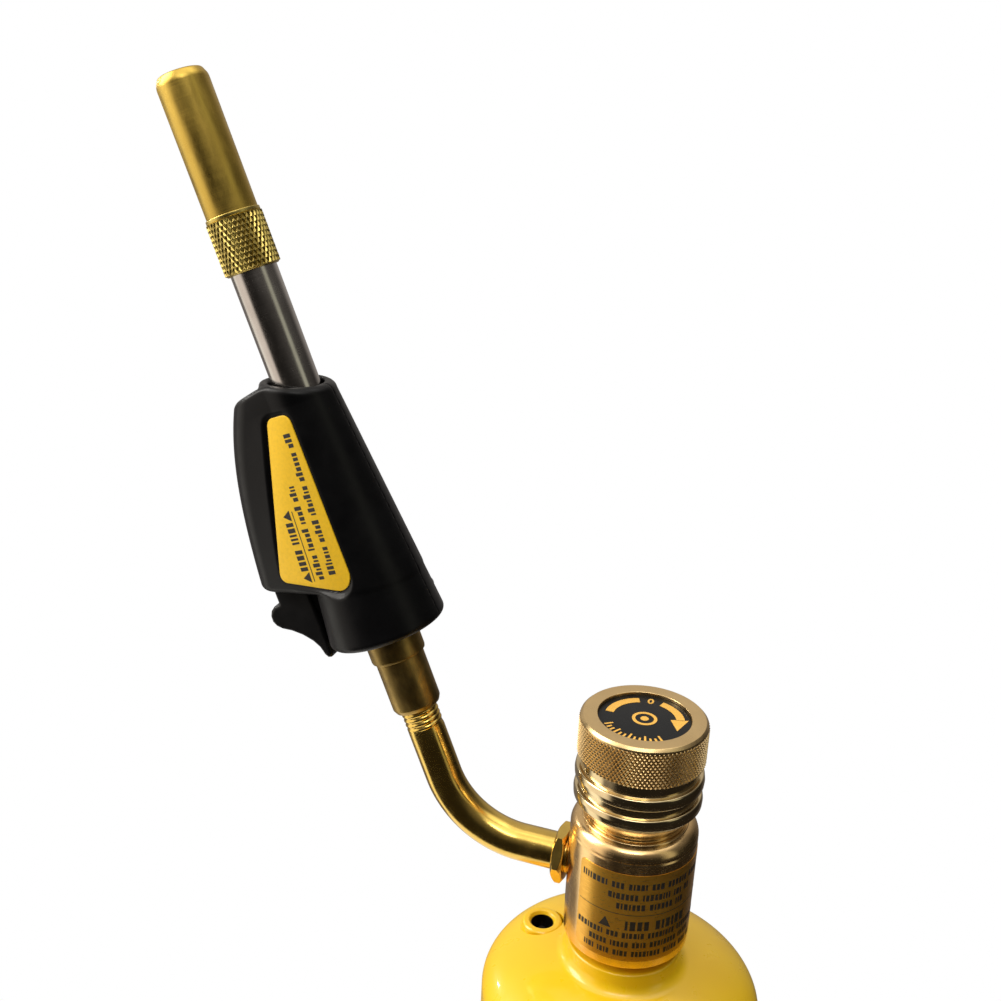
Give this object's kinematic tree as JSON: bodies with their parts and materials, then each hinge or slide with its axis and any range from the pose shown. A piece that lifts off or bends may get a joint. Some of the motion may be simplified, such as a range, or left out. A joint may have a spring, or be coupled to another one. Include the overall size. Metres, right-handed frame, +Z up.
{
  "type": "propane torch",
  "caption": "Trigger-start brass hand torch with a bent gas tube, black handle and valve knob, on a slim yellow fuel cylinder.",
  "frame": {"origin": "centre of the fuel cylinder's foot, on the surface it stands on", "axes": "+Z up along the cylinder and the valve; the burner leans towards -X in the XZ plane; +Y is the side away from the near housing half"},
  "size_m": [0.1657, 0.074, 0.477],
  "materials": {
    "cylinder_paint": "gloss",
    "bright_steel": "satin",
    "inner_brass": "satin",
    "polished_brass": "polished",
    "sintered_bronze": "matte",
    "seal_rubber": "matte",
    "knob_brass": "satin",
    "dial_black": "satin",
    "foil_label": "satin",
    "tube_brass": "polished",
    "socket_brass": "satin",
    "stainless_tube": "polished",
    "collar_brass": "satin",
    "tip_brass": "satin",
    "white_ceramic": "satin",
    "igniter_plastic": "matte",
    "wire_sleeve": "satin",
    "housing_plastic": "satin",
    "yellow_label": "satin",
    "trigger_plastic": "satin"
  },
  "bodies": {
    "torch": {"cylinder_shell": "cylinder_paint", "valve_neck": "cylinder_paint", "relief_port": "cylinder_paint", "cylinder_base": "cylinder_paint", "relief_spring": "bright_steel", "core_body": "inner_brass", "core_spring": "bright_steel", "regulator_body": "polished_brass", "inlet_nipple": "inner_brass", "inlet_filter": "sintered_bronze", "nipple_seal": "seal_rubber", "regulator_spring": "bright_steel", "valve_seat": "inner_brass", "bonnet": "polished_brass", "body_label": "foil_label", "bent_tube": "tube_brass", "lock_nut": "tube_brass", "burner_socket": "socket_brass", "socket_ring": "socket_brass", "gas_jet": "inner_brass", "burner_tube": "stainless_tube", "knurled_collar": "collar_brass", "burner_tip": "tip_brass", "flame_holder": "socket_brass", "electrode_insulator": "white_ceramic", "spark_electrode": "bright_steel", "piezo_body": "igniter_plastic", "igniter_spring": "bright_steel", "ignition_wire": "wire_sleeve", "housing_left": "housing_plastic", "housing_right": "housing_plastic", "housing_label_left": "yellow_label", "housing_label_right": "yellow_label", "housing_screws": "bright_steel"},
    "knob": {"control_knob": "knob_brass", "dial_disc": "dial_black", "knob_screw": "bright_steel", "control_stem": "inner_brass", "stem_seal": "seal_rubber"},
    "seat_carrier": {"seat_pad": "seal_rubber"},
    "trigger": {"trigger": "trigger_plastic"},
    "plunger": {"piezo_plunger": "igniter_plastic"},
    "core_pin": {"core_pin": "bright_steel"},
    "relief_stem": {"relief_stem": "bright_steel"},
    "piston": {"regulator_piston": "inner_brass"}
  },
  "joints": [
    {"name": "stem_lift", "type": "slide", "parent": "torch", "child": "seat_carrier", "axis": [0, 0, 1], "range_m": [0, 0.0015]},
    {"name": "knob_turn", "type": "hinge", "parent": "seat_carrier", "child": "knob", "pos_m": [0, 0, 0.3], "axis": [0, 0, 1], "range_deg": [0, 540]},
    {"name": "trigger_pull", "type": "slide", "parent": "torch", "child": "trigger", "axis": [-0.3811, 0, 0.9245], "range_m": [0, 0.004], "stiffness_N_per_m": 2500},
    {"name": "plunger_slide", "type": "slide", "parent": "torch", "child": "plunger", "axis": [-0.3811, 0, 0.9245], "range_m": [0, 0.004], "deforming": ["igniter_spring"]},
    {"name": "core_pin_press", "type": "slide", "parent": "torch", "child": "core_pin", "axis": [0, 0, -1], "range_m": [0, 0.0008], "stiffness_N_per_m": 600, "deforming": ["core_spring"]},
    {"name": "relief_lift", "type": "slide", "parent": "torch", "child": "relief_stem", "axis": [0, 0, 1], "range_m": [0, 0.0015], "stiffness_N_per_m": 1500, "deforming": ["relief_spring"]},
    {"name": "piston_float", "type": "slide", "parent": "torch", "child": "piston", "axis": [0, 0, 1], "range_m": [0, 0.0004], "stiffness_N_per_m": 1500, "deforming": ["regulator_spring"]}
  ],
  "couplings": [
    {"joint": "knob_turn", "follows": "stem_lift", "rad_per_m": 6283.2},
    {"joint": "plunger_slide", "follows": "trigger_pull", "ratio": 1}
  ]
}
